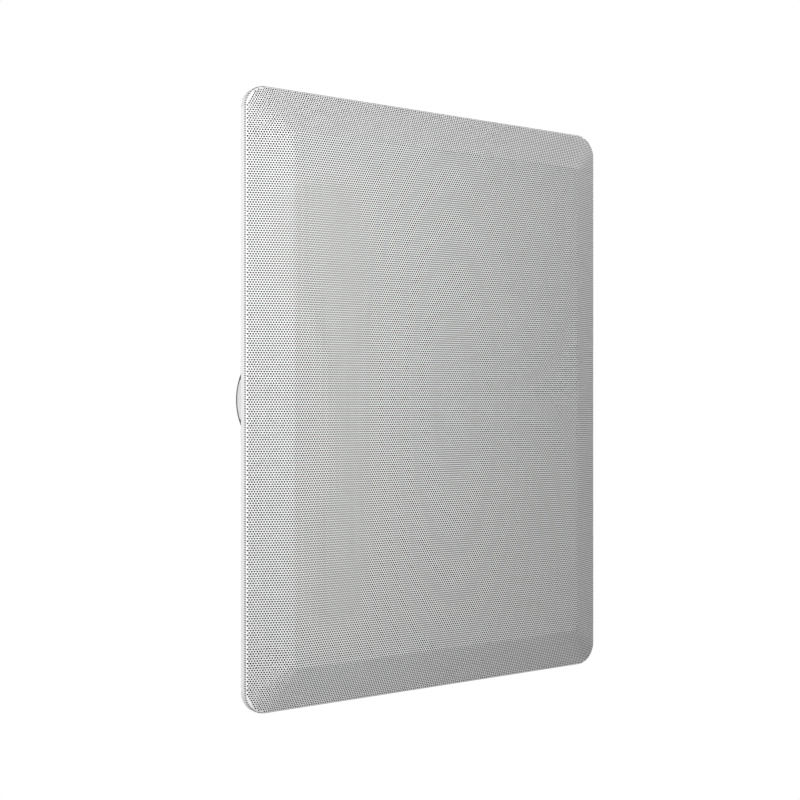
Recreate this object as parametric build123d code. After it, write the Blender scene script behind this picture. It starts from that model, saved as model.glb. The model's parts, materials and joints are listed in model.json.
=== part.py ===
from build123d import *
import os
from math import asin, cos, radians, sin, sqrt

# Driving dimensions, in millimetres
# The wall face is y = 0, the room is toward -Y, +Z is up.
woofer_diameter = 152.0
tweeter_diameter = 58.0
driver_gap = 4.0
side_margin = 33.0
end_margin = 40.0
panel_corner = 11.0
grille_sheet = 0.8
grille_reveal = 0.5
skirt_depth = 4.2
bend_radius = 2.4
bevel_run = 21.0
bevel_rise = 9.2
crown_rise = 3.0
scrim_thickness = 0.4
flange_thickness = 3.0
flange_cover = 13.2
tub_depth = 22.0
tub_wall = 2.2
tub_corner = 9.0
baffle_setback = 2.0
baffle_thickness = 3.0
woofer_depth = 81.0
coil_diameter = 32.0
magnet_diameter = 12.0
magnet_thickness = 3.0
board_width = 58.0
board_height = 60.0
block_width = 40.0
block_height = 28.0
block_depth = 16.0
button_width = 12.0
button_height = 10.0
leg_hub_diameter = 23.0
leg_cheek = 21.2
leg_cheek_bow = 1.75
leg_reach = 32.0
leg_width = 11.0
clamp_screw_diameter = 4.0
tower_depth = 43.0
wire_diameter = 1.8

# Named clearances
skirt_gap = 0.5
magnet_gap = 0.35
moving_gap = 0.5
thread_gap = 0.3
screw_gap = 0.25
coil_gap = 0.7
pocket_gap = 0.3
seat_gap = 0.1

os.makedirs("parts", exist_ok=True)


def at_y(y):
    return Plane(origin=(0, y, 0), x_dir=(1, 0, 0), z_dir=(0, -1, 0))


def slab(sketch, y_front, y_back):
    """A sketch in x and z, made solid between two depths."""
    return extrude(at_y(y_back) * sketch, amount=y_back - y_front)


def rod(x, z, radius, y_front, y_back):
    return slab(Pos(x, z) * Circle(radius), y_front, y_back)


def block(x0, x1, y0, y1, z0, z1):
    return Pos((x0 + x1) / 2, (y0 + y1) / 2, (z0 + z1) / 2) * Box(x1 - x0, y1 - y0, z1 - z0)


def turned(points, x=0.0, z=0.0):
    """A ring from a closed run of (radius, depth) points."""
    return Pos(x, 0, z) * revolve(make_face(Polyline(*points, close=True)), Axis.Y)


def turned_edges(edges, x=0.0, z=0.0):
    return Pos(x, 0, z) * revolve(make_face(edges), Axis.Y)


def wedge(r0, r1, y0, y1, middle, arc, x=0.0, z=0.0):
    """A sector of a ring, centred on an angle measured from +X toward +Z."""
    face = make_face(Polyline((r0, y0), (r1, y0), (r1, y1), (r0, y1), close=True))
    sector = revolve(face, Axis.Y, revolution_arc=arc)
    return Pos(x, 0, z) * Rot(0, -arc / 2 - middle, 0) * sector


def cap_arc(radius, apex_y, base_y):
    """An arc of a sphere centred on the axis, from its apex to its rim."""
    rise = base_y - apex_y
    sphere = (radius * radius + rise * rise) / (2 * rise)
    half = asin(radius / sphere) / 2
    middle = (sphere * sin(half), apex_y + sphere * (1 - cos(half)))
    return ThreePointArc((0, apex_y), middle, (radius, base_y))


def around(radius, angle):
    return radius * cos(radians(angle)), radius * sin(radians(angle))


# Layout: the panel takes its size from the two drivers, one above the other
panel_width = woofer_diameter + 2 * side_margin
panel_height = woofer_diameter + tweeter_diameter + driver_gap + 2 * end_margin
woofer_r = woofer_diameter / 2
tweeter_r = tweeter_diameter / 2
woofer_z = -panel_height / 2 + end_margin + woofer_r
tweeter_z = panel_height / 2 - end_margin - tweeter_r

# Grille: skirt, bend, four bevels and a crowned face
skirt_back = -grille_reveal
edge_y = skirt_back - skirt_depth
kink_y = edge_y - bevel_rise
slope = bevel_rise / bevel_run
kink_half_x = panel_width / 2 - bevel_run
kink_half_z = panel_height / 2 - bevel_run
hip_corner = 0.4
roof_over = 0.5
roof_extra = (crown_rise + roof_over) / slope
patch_over = 2.0


def crown_solid(inset):
    """Everything behind the crowned face, which falls to the kink line at the bevels."""
    grow_x = (panel_width / 2 + patch_over) / kink_half_x
    grow_z = (panel_height / 2 + patch_over) / kink_half_z
    weight_x = (1 - grow_x * grow_x, 1 + grow_x * grow_x, 1 - grow_x * grow_x)
    weight_z = (1 - grow_z * grow_z, 1 + grow_z * grow_z, 1 - grow_z * grow_z)
    net = []
    for i in range(3):
        row = []
        for j in range(3):
            x = (i - 1) * kink_half_x * grow_x
            z = (j - 1) * kink_half_z * grow_z
            row.append((x, kink_y + inset - crown_rise * weight_x[i] * weight_z[j], z))
        net.append(row)
    return Solid.extrude(Face.make_bezier_surface(net), Vector(0, panel_width, 0))


def grille_block(inset):
    """The space inside the grille's outer skin, drawn in by an inset."""
    width = panel_width - 2 * inset
    height = panel_height - 2 * inset
    y_edge = edge_y + inset - inset * slope
    y_top = kink_y + inset - roof_extra * slope
    outline = RectangleRounded(width, height, panel_corner - inset)
    top = RectangleRounded(2 * (kink_half_x - roof_extra), 2 * (kink_half_z - roof_extra), hip_corner)
    roof = loft([at_y(y_edge) * outline, at_y(y_top) * top], ruled=True)
    body = slab(outline, y_edge, skirt_back) + roof
    rim = [e for e in body.edges() if abs(e.center().Y - y_edge) < 1e-3]
    return fillet(rim, bend_radius - inset) & crown_solid(inset)


def skin_y(x, z, inset):
    """Depth of the grille's skin over a point of the face."""
    u = min(abs(x) / kink_half_x, 1.0)
    v = min(abs(z) / kink_half_z, 1.0)
    return kink_y + inset - crown_rise * (1 - u * u) * (1 - v * v)


grille_inner = grille_block(grille_sheet)
grille = grille_block(0) - grille_inner
scrim_front = edge_y - 2 * bend_radius * slope
scrim_zone = block(-panel_width, panel_width, -panel_width, scrim_front, -panel_height, panel_height)
grille_scrim = (grille_inner - grille_block(grille_sheet + scrim_thickness)) & scrim_zone
skin_inset = grille_sheet + scrim_thickness

# Frame: flange, tub and baffle in one moulding
flange_width = panel_width - 2 * (grille_sheet + skirt_gap)
flange_height = panel_height - 2 * (grille_sheet + skirt_gap)
flange_corner = panel_corner - grille_sheet - skirt_gap
tub_width = flange_width - 2 * flange_cover
tub_height = flange_height - 2 * flange_cover
inner_width = tub_width - 2 * tub_wall
inner_height = tub_height - 2 * tub_wall
inner_corner = tub_corner - tub_wall
baffle_front = baffle_setback
baffle_back = baffle_front + baffle_thickness

inner_outline = RectangleRounded(inner_width, inner_height, inner_corner)
frame = slab(RectangleRounded(flange_width, flange_height, flange_corner), -flange_thickness, 0)
frame += slab(RectangleRounded(tub_width, tub_height, tub_corner), -flange_thickness, tub_depth)
frame -= slab(inner_outline, -flange_thickness, baffle_front)
frame -= slab(inner_outline, baffle_back, tub_depth)

# Woofer stations, as radius and depth
basket_flange = 1.6
gasket_thickness = 0.8
flange_ring = 13.5
seat_ring = 8.5
roll_lap = 0.5
roll_width = 11.0
lip = 0.5
yoke_thickness = 7.0
plate_thickness = 6.0
ferrite_thickness = 18.0
back_ring = 2.0
spider_setback = 16.5
neck_setback = 10.5
ledge_reach = 32.5
plate_reach = 25.0
ferrite_reach = 30.0
woofer_screw_edge = 4.5
basket_front = baffle_front - gasket_thickness - basket_flange
basket_step = baffle_front - gasket_thickness
rim_r = woofer_r - flange_ring
hole_r = woofer_r - seat_ring
roll_out_r = rim_r + roll_lap
roll_in_r = roll_out_r - roll_width
roll_r = (roll_out_r - roll_in_r) / 2
roll_mid_r = (roll_out_r + roll_in_r) / 2
coil_r = coil_diameter / 2
yoke_y = woofer_depth - yoke_thickness
ferrite_y = yoke_y - ferrite_thickness
plate_y = ferrite_y - plate_thickness
basket_back_y = plate_y - back_ring
spider_y = plate_y - spider_setback
neck_y = spider_y - neck_setback
ledge_r = coil_r + ledge_reach
ledge_in_r = coil_r + plate_reach
plate_r = coil_r + plate_reach
ferrite_r = coil_r + ferrite_reach
woofer_screw_r = woofer_r - woofer_screw_edge
woofer_screw_angles = (45, 135, 225, 315)

# Tweeter stations
dome_inset = 16.5
dome_roll_width = 3.1
housing_margin = 7.5
socket_wall = 2.0
face_rise = 3.5
ledge_drop = 2.4
film = 0.35
housing_length = 25.0
tweeter_screw_edge = 3.3
dome_r = tweeter_r - dome_inset
rim_in_r = dome_r + dome_roll_width
housing_r = dome_r + housing_margin
tweeter_hole_r = housing_r + socket_wall
face_front = baffle_front - face_rise
ledge_y = baffle_front + ledge_drop
housing_y = ledge_y + film
housing_end = housing_y + housing_length
tweeter_screw_r = tweeter_r - tweeter_screw_edge
tweeter_screw_angles = (90, 210, 330)

# Clamp stations: a screw in the middle of each side, legs folded in
hub_r = leg_hub_diameter / 2
axis_in = hub_r + moving_gap + tub_wall
axis_x = tub_width / 2 - axis_in
axis_z = tub_height / 2 - axis_in
screw_r = clamp_screw_diameter / 2
plate_end = tower_depth
tower_plate = 5.0
leg_back = tower_depth - tower_plate - moving_gap
hub_length = 10.5
leg_front = leg_back - hub_length
arm_thickness = 6.0
pad_thickness = 1.5
boss_rise = 2.0
boss_drop = 3.0
boss_wall = 4.0
boss_front = baffle_front - boss_rise
boss_back = baffle_back + boss_drop
cheek_half = leg_cheek / 2
cheek_corner = 2.0
cheek_edge = hub_r - leg_cheek_bow
swing_r = sqrt((cheek_edge - cheek_corner) ** 2 + (cheek_half - cheek_corner) ** 2) + cheek_corner
gusset = 2.3
gusset_u = hub_r + moving_gap
gusset_half = 16.0
plate_half = 21.2
plate_side = 6.65
stop_inset = 2.0
window_over = 2.5
plate_bulge = 2.75
bulge_half = 13.2
sides = {
    "left": (-axis_x, 0.0, 0),
    "top": (0.0, axis_z, 90),
    "right": (axis_x, 0.0, 180),
    "bottom": (0.0, -axis_z, 270),
}


def at_side(side, shape):
    x, z, turn = sides[side]
    return Pos(x, 0, z) * Rot(0, turn, 0) * shape


def tower():
    """A screw tower open on the side where the leg swings out."""
    edge = -plate_side
    inner = gusset_u + gusset
    outline = make_face(
        Polyline(
            (edge, bulge_half), (edge, plate_half), (inner, plate_half),
            (inner, -plate_half), (edge, -plate_half), (edge, -bulge_half),
        )
        + ThreePointArc((edge, -bulge_half), (edge - plate_bulge, 0), (edge, bulge_half))
    )
    end = slab(outline, plate_end - tower_plate, plate_end)
    web = block(gusset_u, inner, baffle_back, plate_end, -gusset_half, gusset_half)
    stop_z = -swing_r - moving_gap
    stop = block(edge + stop_inset, inner, baffle_back, plate_end, stop_z - gusset, stop_z)
    boss = rod(0, 0, screw_r + boss_wall, boss_front, boss_back)
    return end + web + stop + boss


def tower_hole():
    return rod(0, 0, screw_r + thread_gap, boss_front - 1, plate_end + 1)


def leg_window():
    """Opening in the tub wall for the leg's quarter turn."""
    low = -leg_width / 2 - window_over
    high = leg_reach + window_over
    return block(-axis_in - window_over, -hub_r + window_over, boss_back, tub_depth + 1, low, high)


# Frame openings, bosses, ribs and towers
rib_z = (woofer_z + hole_r + tweeter_z - tweeter_hole_r) / 2
rib_height = 8.0
rib_half = 1.0
ring_wall = 5.0
rib_back = baffle_back + rib_height
frame += block(-inner_width / 2, inner_width / 2, baffle_back, rib_back, rib_z - rib_half, rib_z + rib_half)
frame += rod(0, woofer_z, hole_r + ring_wall, baffle_back, rib_back)
corner_draw = (inner_corner + tub_corner) / 2 * (1 - sqrt(0.5))
for corner_x in (-1, 1):
    far_x = corner_x * (inner_width + tub_wall) / 2 - corner_x * corner_draw
    far_z = -(inner_height + tub_wall) / 2 + corner_draw
    run_z = far_z - woofer_z
    run = sqrt(far_x * far_x + run_z * run_z)
    unit_x = far_x / run
    unit_z = run_z / run
    near = hole_r + ring_wall / 2
    side_x = -unit_z
    side_z = unit_x
    corners = []
    for along, across in ((near, rib_half), (run, rib_half), (run, -rib_half), (near, -rib_half)):
        corners.append((unit_x * along + side_x * across, woofer_z + unit_z * along + side_z * across))
    frame += slab(make_face(Polyline(*corners, close=True)), baffle_back, rib_back)
for side in sides:
    frame += at_side(side, tower())
for side in sides:
    frame -= at_side(side, tower_hole())
    frame -= at_side(side, leg_window())

board_side_gap = 4.0
board_top_gap = 12.0
board_standoff = 8.0
board_thickness = 1.6
board_hole_inset = 4.0
board_post_r = 3.5
board_x = -inner_width / 2 + board_width / 2 + board_side_gap
board_z = inner_height / 2 - board_height / 2 - board_top_gap
board_y = baffle_back + board_standoff
board_back = board_y + board_thickness
board_hole_x = board_width / 2 - board_hole_inset
board_hole_z = board_height / 2 - board_hole_inset
board_holes = []
for sx in (-1, 1):
    for sz in (-1, 1):
        board_holes.append((board_x + sx * board_hole_x, board_z + sz * board_hole_z))
for x, z in board_holes:
    frame += rod(x, z, board_post_r, baffle_back, board_y)

block_side_gap = 12.0
ear_r = 4.0
ear_thickness = 3.0
ear_post = 6.0
block_x = inner_width / 2 - block_width / 2 - block_side_gap
block_z = board_z
block_back = baffle_back + block_depth
block_holes = []
for sx in (-1, 1):
    block_holes.append((block_x + sx * (block_width / 2 + ear_r), block_z))
for x, z in block_holes:
    frame += rod(x, z, ear_r, baffle_back, baffle_back + ear_post)

small_r = 1.5
driver_boss_r = 4.0
woofer_boss = 9.0
tweeter_boss = 5.0
for angle in woofer_screw_angles:
    dx, dz = around(woofer_screw_r, angle)
    frame += rod(dx, woofer_z + dz, driver_boss_r, baffle_back, baffle_back + woofer_boss)
for angle in tweeter_screw_angles:
    dx, dz = around(tweeter_screw_r, angle)
    frame += rod(dx, tweeter_z + dz, driver_boss_r, baffle_back, baffle_back + tweeter_boss)

frame -= rod(0, woofer_z, hole_r, baffle_front - 1, plate_end + 1)
frame -= rod(0, tweeter_z, tweeter_hole_r, baffle_front - 1, baffle_back + tweeter_boss + 1)
for angle in woofer_screw_angles:
    dx, dz = around(woofer_screw_r, angle)
    frame -= rod(dx, woofer_z + dz, small_r + screw_gap, baffle_front - 1, baffle_back + woofer_boss - 1)
for angle in tweeter_screw_angles:
    dx, dz = around(tweeter_screw_r, angle)
    frame -= rod(dx, tweeter_z + dz, small_r + screw_gap, baffle_front - 1, baffle_back + tweeter_boss + 1)
for x, z in board_holes:
    frame -= rod(x, z, small_r + screw_gap, baffle_back + 1, board_y + 1)
for x, z in block_holes:
    frame -= rod(x, z, small_r + screw_gap, baffle_back + 1, baffle_back + ear_post + 1)

# Grille magnets on posts that reach up to the grille's skin
magnet_r = magnet_diameter / 2
post_wall = 1.6
post_inset = 4.5
pocket_lip = 0.5
post_r = magnet_r + post_wall
post_x = inner_width / 2 - post_r - post_inset
post_z = inner_height / 2 - post_r - post_inset
post_mid_z = (rib_z + board_z - board_hole_z) / 2
magnet_spots = []
for sx in (-1, 1):
    for z in (post_z, post_mid_z, -post_z):
        magnet_spots.append((sx * post_x, z))
magnet_list = []
for x, z in magnet_spots:
    top = skin_y(abs(x) + magnet_r, abs(z) + magnet_r, skin_inset) + magnet_gap
    frame += rod(x, z, post_r, top + pocket_lip, baffle_front)
    frame -= rod(x, z, magnet_r + seat_gap, top - pocket_lip, top + magnet_thickness)
    magnet_list.append(rod(x, z, magnet_r, top, top + magnet_thickness))
grille_magnets = Compound(children=magnet_list)

# Woofer basket: flange, six spokes, spider ledge and back ring
wall = 1.9
spokes = 6
window_arc = 42
back_window_arc = 26
window_edge = 2.0
basket_gap = 1.0
skirt_drop = 7.0
skirt_draw = 1.0
spider_wall = 0.5
ledge_wall = 1.5
cup_drop = 5.0
cup_draw = 2.5
throat_reach = 4.0
throat_r = coil_r + throat_reach
skirt_r = hole_r - basket_gap - skirt_draw
skirt_y = basket_step + skirt_drop
seat_y = spider_y + spider_wall
cup_y = spider_y + cup_drop
basket = turned(
    [
        (rim_r, basket_front), (woofer_r, basket_front), (woofer_r, basket_step),
        (hole_r - basket_gap, basket_step), (skirt_r, skirt_y), (ledge_r, seat_y), (ledge_r, cup_y),
        (ledge_r - cup_draw, plate_y), (throat_r, plate_y), (throat_r, basket_back_y),
        (ledge_r - cup_draw - wall, basket_back_y), (ledge_r - wall, cup_y),
        (ledge_r - wall, seat_y + ledge_wall), (ledge_in_r, seat_y + ledge_wall), (ledge_in_r, seat_y),
        (ledge_r - wall - spider_wall, seat_y), (skirt_r - wall, skirt_y - spider_wall), (rim_r, basket_step),
    ],
    0, woofer_z,
)
for k in range(spokes):
    middle = 360 / spokes * k
    near_r = ledge_in_r - window_edge
    front = skirt_y + window_edge
    back = spider_y - window_edge
    basket -= wedge(near_r, woofer_r, front, back, middle, window_arc, 0, woofer_z)
    near_r = ledge_in_r + window_edge
    front = cup_y + 1
    back = basket_back_y - window_edge
    basket -= wedge(near_r, woofer_r, front, back, middle, back_window_arc, 0, woofer_z)
for angle in woofer_screw_angles:
    dx, dz = around(woofer_screw_r, angle)
    basket -= rod(dx, woofer_z + dz, small_r + screw_gap, basket_front - 1, basket_step + 1)

gasket_edge = 0.5
woofer_gasket = rod(0, woofer_z, woofer_r - gasket_edge, basket_step, baffle_front)
woofer_gasket -= rod(0, woofer_z, hole_r + gasket_edge, basket_step - 1, baffle_front + 1)
for angle in woofer_screw_angles:
    dx, dz = around(woofer_screw_r, angle)
    woofer_gasket -= rod(dx, woofer_z + dz, small_r + screw_gap, basket_step - 1, baffle_front + 1)

# Woofer surround: outer lip, half roll and inner lip
inner_lip = 2.5
lip_front = basket_front - lip
lip_end_r = roll_in_r - inner_lip
surround = turned_edges(
    Line((hole_r, basket_front), (hole_r, lip_front))
    + Line((hole_r, lip_front), (roll_out_r, lip_front))
    + ThreePointArc((roll_out_r, lip_front), (roll_mid_r, lip_front - roll_r), (roll_in_r, lip_front))
    + Line((roll_in_r, lip_front), (lip_end_r, lip_front))
    + Line((lip_end_r, lip_front), (lip_end_r, basket_front))
    + Line((lip_end_r, basket_front), (roll_in_r + lip, basket_front))
    + ThreePointArc(
        (roll_in_r + lip, basket_front),
        (roll_mid_r, basket_front - roll_r + lip),
        (roll_out_r - lip, basket_front),
    )
    + Line((roll_out_r - lip, basket_front), (hole_r, basket_front)),
    0, woofer_z,
)

# Woofer cone, dust cap, former and winding
cone_rim_r = roll_in_r - 2 * seat_gap
cone_top_r = lip_end_r - pocket_gap
cone_wall = 1.0
neck_lip = 1.4
neck_r = coil_r + seat_gap
cone_slope = (neck_y - basket_front) / (cone_top_r - coil_r)
cone = turned(
    [
        (cone_rim_r, basket_front), (cone_top_r, basket_front), (neck_r, neck_y), (neck_r, neck_y + neck_lip),
        (cone_top_r + cone_wall / 2, basket_front + cone_wall), (cone_rim_r, basket_front + cone_wall),
    ],
    0, woofer_z,
)
cap_lap = 5.0
cap_wall = 0.7
cap_rise = 7.0
cap_r = coil_r + cap_lap
cap_y = basket_front + (cone_top_r - cap_r) * cone_slope - seat_gap
dust_cap = turned_edges(
    Line((0, cap_y - cap_rise), (0, cap_y - cap_rise + cap_wall))
    + cap_arc(cap_r - 1, cap_y - cap_rise + cap_wall, cap_y)
    + Line((cap_r - 1, cap_y), (cap_r, cap_y))
    + cap_arc(cap_r, cap_y - cap_rise, cap_y),
    0, woofer_z,
)
former_wall = 0.5
former_room = 8.0
former_end = yoke_y - former_room
former_front = neck_y - neck_lip
voice_coil_former = turned(
    [
        (coil_r - former_wall, former_front), (coil_r, former_front),
        (coil_r, former_end), (coil_r - former_wall, former_end),
    ],
    0, woofer_z,
)
winding = 1.1
winding_half = 7.0
gap_mid = plate_y + plate_thickness / 2
voice_coil = turned(
    [
        (coil_r, gap_mid - winding_half), (coil_r + winding, gap_mid - winding_half),
        (coil_r + winding, gap_mid + winding_half), (coil_r, gap_mid + winding_half),
    ],
    0, woofer_z,
)

# Woofer spider: a disc with rolls pressed in it
spider_front = [(coil_r, spider_y)]
spider_back = [(coil_r, spider_y + spider_wall)]
waves = 4
wave_rise = 1.6
flat_in = 2.5
flat_out = 1.0
spider_r = ledge_r - wall - spider_wall - flat_out / 2
wave_start = coil_r + flat_in
wave_end = ledge_in_r - flat_out
wave_pitch = (wave_end - wave_start) / waves
for k in range(waves):
    r = wave_start + k * wave_pitch
    for share, rise in ((0, 0), (0.25, -wave_rise), (0.5, 0), (0.75, wave_rise)):
        spider_front.append((r + share * wave_pitch, spider_y + rise))
        spider_back.append((r + share * wave_pitch, spider_y + rise + spider_wall))
spider_front += [(wave_end, spider_y), (spider_r, spider_y)]
spider_back += [(wave_end, seat_y), (spider_r, seat_y)]
spider = turned(spider_front + spider_back[::-1], 0, woofer_z)

# Woofer motor: front plate, ferrite ring, yoke with vented pole
top_plate = turned(
    [
        (coil_r + winding + coil_gap, plate_y), (plate_r, plate_y),
        (plate_r, ferrite_y), (coil_r + winding + coil_gap, ferrite_y),
    ],
    0, woofer_z,
)
ferrite_edge = 1.0
ferrite_bore = 8.0
ferrite_in_r = coil_r + ferrite_bore
ferrite = turned(
    [
        (ferrite_in_r, ferrite_y), (ferrite_r - ferrite_edge, ferrite_y),
        (ferrite_r, ferrite_y + ferrite_edge),
        (ferrite_r, yoke_y - ferrite_edge), (ferrite_r - ferrite_edge, yoke_y),
        (ferrite_in_r, yoke_y),
    ],
    0, woofer_z,
)
pole_r = coil_r - former_wall - coil_gap
pole_edge = 0.5
yoke_edge = 2.0
vent_flare = 3.0
vent_r = pole_r / 3
yoke = turned(
    [
        (vent_r, plate_y), (pole_r - pole_edge, plate_y), (pole_r, plate_y + pole_edge), (pole_r, yoke_y),
        (plate_r, yoke_y), (plate_r, woofer_depth - yoke_edge), (plate_r - yoke_edge, woofer_depth),
        (vent_r + vent_flare, woofer_depth), (vent_r, woofer_depth - vent_flare),
    ],
    0, woofer_z,
)

# Tag strip on the top spoke of the basket
strip_half = 11.0
strip_length = 10.0
strip_wall = 1.6
tag_x = 6.0
tag_half = 2.4
tag_foot = 0.6
tag_rise = 6.0
blade_half = 0.4
strip_front = spider_y + 1
strip_back = strip_front + strip_length
strip_z = woofer_z + ledge_r + seat_gap
tag_z = strip_z + strip_wall
tag_spot_y = strip_back - tag_half - strip_wall
tag_strip = block(-strip_half, strip_half, strip_front, strip_back, strip_z, tag_z)
tags = []
for x in (-tag_x, tag_x):
    tag_front = tag_spot_y - tag_half
    tag_back = tag_spot_y + tag_half
    foot = block(x - tag_half, x + tag_half, tag_front, tag_back, tag_z, tag_z + tag_foot)
    tags.append(foot + block(x - blade_half, x + blade_half, tag_front, tag_back, tag_z, tag_z + tag_rise))
woofer_tags = Compound(children=tags)

# Screws, each as length, head radius and head height
woofer_screw = (10.0, 3.2, 2.0)
tweeter_screw = (9.0, 2.4, 1.2)
board_screw = (6.0, 2.8, 1.8)
terminal_screw = (7.0, 2.8, 1.8)
cross_half = 0.4
cross_depth = 1.0
cross_share = 0.6


def pan_screw(x, z, seat_y, length, head_r, head_rise):
    """A cross-slotted screw whose head bears on a depth, pointing into the wall."""
    body = rod(x, z, head_r, seat_y - head_rise, seat_y) + rod(x, z, small_r, seat_y, seat_y + length)
    slot_front = seat_y - head_rise - 1
    slot_back = seat_y - head_rise + cross_depth
    slot = head_r * cross_share
    body -= block(x - slot, x + slot, slot_front, slot_back, z - cross_half, z + cross_half)
    body -= block(x - cross_half, x + cross_half, slot_front, slot_back, z - slot, z + slot)
    return body


def back_screw(x, z, seat_y, length, head_r, head_rise):
    """The same screw driven from behind."""
    flip = Pos(x, seat_y, z) * Rot(180, 0, 0)
    return flip * pan_screw(0, 0, 0, length, head_r, head_rise)


screw_list = []
for angle in woofer_screw_angles:
    dx, dz = around(woofer_screw_r, angle)
    screw_list.append(pan_screw(dx, woofer_z + dz, basket_front, *woofer_screw))
woofer_screws = Compound(children=screw_list)

# Tweeter: faceplate with a short horn, dome, coil, pot motor and housing
mouth_inset = 4.0
plate_edge = 0.6
throat_land = 1.2
socket_gap = 0.2
socket_depth = 4.0
spot_r = 2.6
spot_depth = 1.4
mouth_r = tweeter_r - mouth_inset
socket_out_r = tweeter_hole_r - 2 * socket_gap
socket_in_r = housing_r + socket_gap
land_r = rim_in_r + socket_gap
faceplate = turned(
    [
        (tweeter_r, baffle_front), (tweeter_r, face_front + plate_edge), (tweeter_r - plate_edge, face_front),
        (mouth_r, face_front), (land_r, ledge_y - throat_land), (land_r, ledge_y),
        (socket_in_r, ledge_y), (socket_in_r, ledge_y + socket_depth), (socket_out_r, ledge_y + socket_depth),
        (socket_out_r, baffle_front),
    ],
    0, tweeter_z,
)
for angle in tweeter_screw_angles:
    dx, dz = around(tweeter_screw_r, angle)
    faceplate -= rod(dx, tweeter_z + dz, small_r + screw_gap, face_front - 1, baffle_front + 1)
    faceplate -= rod(dx, tweeter_z + dz, spot_r, face_front - 1, face_front + spot_depth)

dome_rise = 6.2
dome_roll_rise = 1.2
apex = ledge_y - dome_rise
cloth_r = dome_r - seat_gap
roll_c = (dome_r + rim_in_r) / 2
roll_top = ledge_y - dome_roll_rise
dome = turned_edges(
    Line((0, apex), (0, apex + film))
    + cap_arc(cloth_r, apex + film, ledge_y + film)
    + ThreePointArc((cloth_r, ledge_y + film), (roll_c, roll_top + film), (rim_in_r, ledge_y + film))
    + Line((rim_in_r, ledge_y + film), (housing_r, ledge_y + film))
    + Line((housing_r, ledge_y + film), (housing_r, ledge_y))
    + Line((housing_r, ledge_y), (rim_in_r, ledge_y))
    + ThreePointArc((rim_in_r, ledge_y), (roll_c, roll_top), (cloth_r, ledge_y))
    + cap_arc(cloth_r, apex, ledge_y),
    0, tweeter_z,
)
small_winding = 0.6
small_coil_length = 5.0
small_coil_r = cloth_r + small_winding
tweeter_coil = turned(
    [
        (cloth_r, housing_y + seat_gap), (small_coil_r, housing_y + seat_gap),
        (small_coil_r, housing_y + small_coil_length), (cloth_r, housing_y + small_coil_length),
    ],
    0, tweeter_z,
)
pole_setback = 1.3
pole_thickness = 3.0
slug_length = 7.0
slug_inset = 1.5
pot_floor = 4.0
pot_inset = 2.5
pole_front = housing_y + pole_setback
slug_front = pole_front + pole_thickness
slug_back = slug_front + slug_length
pot_back = slug_back + pot_floor
pot_in_r = small_coil_r + coil_gap
pot_r = housing_r - pot_inset
pole_plate_r = cloth_r - coil_gap / 2
tweeter_pole_plate = rod(0, tweeter_z, pole_plate_r, pole_front, slug_front)
tweeter_magnet = rod(0, tweeter_z, pole_plate_r - slug_inset, slug_front, slug_back)
tweeter_pot = turned(
    [
        (0, slug_back), (pot_in_r, slug_back), (pot_in_r, pole_front),
        (pot_r, pole_front), (pot_r, pot_back), (0, pot_back),
    ],
    0, tweeter_z,
)
housing_edge = 2.0
housing_floor = 2.2
shell_step = 3.0
shell_r = pot_r + seat_gap
shell_end = housing_end - housing_floor
tweeter_housing = turned(
    [
        (shell_r, housing_y), (housing_r, housing_y), (housing_r, housing_end - housing_edge),
        (housing_r - housing_edge, housing_end), (0, housing_end), (0, shell_end),
        (shell_r - shell_step, shell_end), (shell_r - shell_step, pot_back), (shell_r, pot_back),
    ],
    0, tweeter_z,
)
small_tag_x = 5.0
small_tag_half = 2.2
tag_list = []
for x in (-small_tag_x, small_tag_x):
    low = tweeter_z - small_tag_half
    high = tweeter_z + small_tag_half
    foot = block(x - small_tag_half, x + small_tag_half, housing_end, housing_end + tag_foot, low, high)
    blade = block(x - blade_half, x + blade_half, housing_end, housing_end + tag_rise, low, high)
    tag_list.append(foot + blade)
tweeter_tags = Compound(children=tag_list)
screw_list = []
for angle in tweeter_screw_angles:
    dx, dz = around(tweeter_screw_r, angle)
    screw_list.append(pan_screw(dx, tweeter_z + dz, face_front + spot_depth, *tweeter_screw))
tweeter_screws = Compound(children=screw_list)

# Crossover board and what it carries
board_corner = 2.0
board_outline = Pos(board_x, board_z) * RectangleRounded(board_width, board_height, board_corner)
crossover_board = slab(board_outline, board_y, board_back)
for x, z in board_holes:
    crossover_board -= rod(x, z, small_r + screw_gap, board_y - 1, board_back + 1)
screw_list = []
for x, z in board_holes:
    screw_list.append(back_screw(x, z, board_back, *board_screw))
board_screws = Compound(children=screw_list)

coil_inset = 19.0
coil_lift = 5.5
bobbin_r = 13.0
bobbin_length = 15.0
bobbin_bore_r = 2.0
bobbin_core_r = 6.0
bobbin_cheek = 1.4
wound_r = bobbin_r - 1.0
coil_x = board_x - board_width / 2 + coil_inset
coil_z = board_z + coil_lift
bobbin_end = board_back + bobbin_length
wound_front = board_back + bobbin_cheek
wound_back = bobbin_end - bobbin_cheek
inductor_bobbin = turned(
    [
        (bobbin_bore_r, board_back), (bobbin_r, board_back), (bobbin_r, wound_front),
        (bobbin_core_r, wound_front), (bobbin_core_r, wound_back), (bobbin_r, wound_back),
        (bobbin_r, bobbin_end), (bobbin_bore_r, bobbin_end),
    ],
    coil_x, coil_z,
)
inductor_winding = turned(
    [
        (bobbin_core_r, wound_front), (wound_r, wound_front),
        (wound_r, wound_back), (bobbin_core_r, wound_back),
    ],
    coil_x, coil_z,
)
can_chamfer = 0.6


def lying(radius, length, x, z, upright):
    """A round can lying on the board, with its ends drawn in a little."""
    can = Cylinder(radius, length)
    can = chamfer(can.edges(), can_chamfer)
    turn = Rot(0, 0, 0) if upright else Rot(0, 90, 0)
    return Pos(x, board_back + radius, z) * turn * can


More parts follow.
